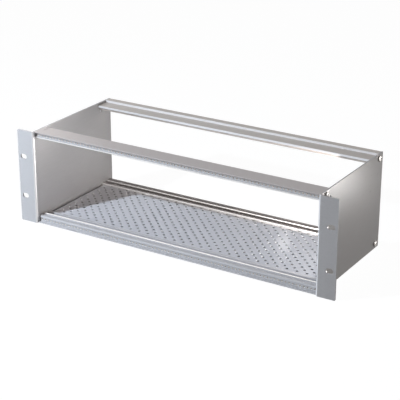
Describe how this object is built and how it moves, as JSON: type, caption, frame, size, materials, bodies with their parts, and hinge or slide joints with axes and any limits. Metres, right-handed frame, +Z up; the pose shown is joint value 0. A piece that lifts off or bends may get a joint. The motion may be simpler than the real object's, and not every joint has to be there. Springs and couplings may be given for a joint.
{
  "type": "rack chassis",
  "caption": "Open card frame for a rack: folded side plates with slotted ears, extruded horizontal rails, threaded strips and a perforated base plate.",
  "frame": {"origin": "below the middle of the chassis, on the plane of its bottom edges", "axes": "+X along the rails, +Y from the ears towards the rear, +Z up"},
  "size_m": [0.4826, 0.1784, 0.1325],
  "materials": {
    "side_sheet": "satin, lightly brushed",
    "rail_extrusion": "satin, clear anodised",
    "perforated_sheet": "satin",
    "strip_steel": "zinc plated",
    "screw_steel": "zinc plated"
  },
  "bodies": {
    "root": {"side_plate_left": "side_sheet", "side_plate_right": "side_sheet", "front_rail_top": "rail_extrusion", "front_rail_bottom": "rail_extrusion", "rear_rail_top": "rail_extrusion", "rear_rail_bottom": "rail_extrusion", "base_plate": "perforated_sheet", "threaded_strip_top": "strip_steel", "threaded_strip_bottom": "strip_steel", "rail_screws": "screw_steel"}
  },
  "joints": []
}
